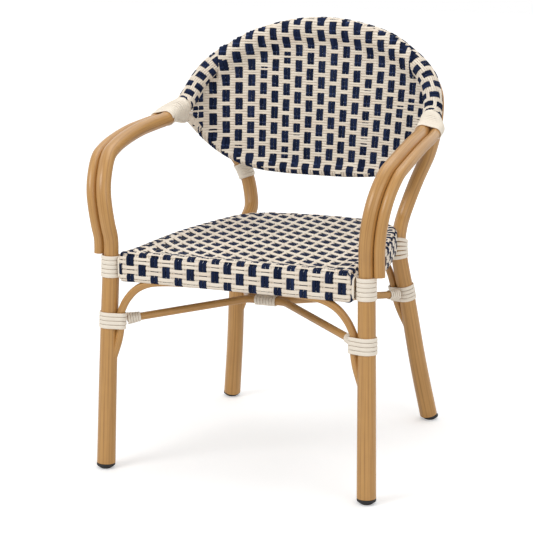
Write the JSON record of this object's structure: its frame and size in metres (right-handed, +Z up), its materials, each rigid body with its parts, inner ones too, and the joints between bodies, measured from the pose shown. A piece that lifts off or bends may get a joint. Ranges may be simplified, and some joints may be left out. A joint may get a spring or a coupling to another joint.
{
  "type": "rattan bistro armchair",
  "caption": "Bistro armchair with bamboo-look tube frame, double arms, woven checked seat and barrel back, cane bindings and black foot glides.",
  "frame": {"origin": "on the floor, under the middle of the outer size", "axes": "+X across the chair, to the sitter's left as it faces -Y, +Y to the back, +Z up"},
  "size_m": [0.6452, 0.582, 0.8627],
  "materials": {
    "bamboo_tube": "satin bamboo-look coating with darker streaks",
    "inner_tube": "satin, hidden by the weave",
    "woven_cane": "flat navy and cream synthetic cane, satin",
    "cane_binding": "cream synthetic cane, satin",
    "foot_glide": "matte black"
  },
  "bodies": {
    "root": {"arm_taper_binding_left": "cane_binding", "arm_taper_binding_right": "cane_binding", "back_binding_left": "cane_binding", "back_lower_rail": "inner_tube", "back_weave": "woven_cane", "brace_end_binding_front_left": "cane_binding", "brace_end_binding_front_right": "cane_binding", "brace_end_binding_rear_left": "cane_binding", "brace_end_binding_rear_right": "cane_binding", "centre_binding": "cane_binding", "foot_glide_front_left": "foot_glide", "foot_glide_front_right": "foot_glide", "foot_glide_rear_left": "foot_glide", "foot_glide_rear_right": "foot_glide", "front_arch_rod": "bamboo_tube", "front_brace_rod": "bamboo_tube", "front_leg_and_arm_left": "bamboo_tube", "front_leg_and_arm_right": "bamboo_tube", "lower_binding_front_left": "cane_binding", "lower_binding_front_right": "cane_binding", "lower_binding_rear_left": "cane_binding", "lower_binding_rear_right": "cane_binding", "outer_arm_left": "bamboo_tube", "outer_arm_right": "bamboo_tube", "rear_arch_rod": "bamboo_tube", "rear_brace_rod": "bamboo_tube", "rear_hoop": "bamboo_tube", "rim_tube": "inner_tube", "rim_weave": "woven_cane", "seat_bent_rail": "inner_tube", "seat_binding_front_left": "cane_binding", "seat_binding_front_right": "cane_binding", "seat_binding_rear_left": "cane_binding", "seat_binding_rear_right": "cane_binding", "seat_corner_binding_left": "cane_binding", "seat_corner_binding_right": "cane_binding", "seat_front_rail": "inner_tube", "seat_weave": "woven_cane"}
  },
  "joints": []
}
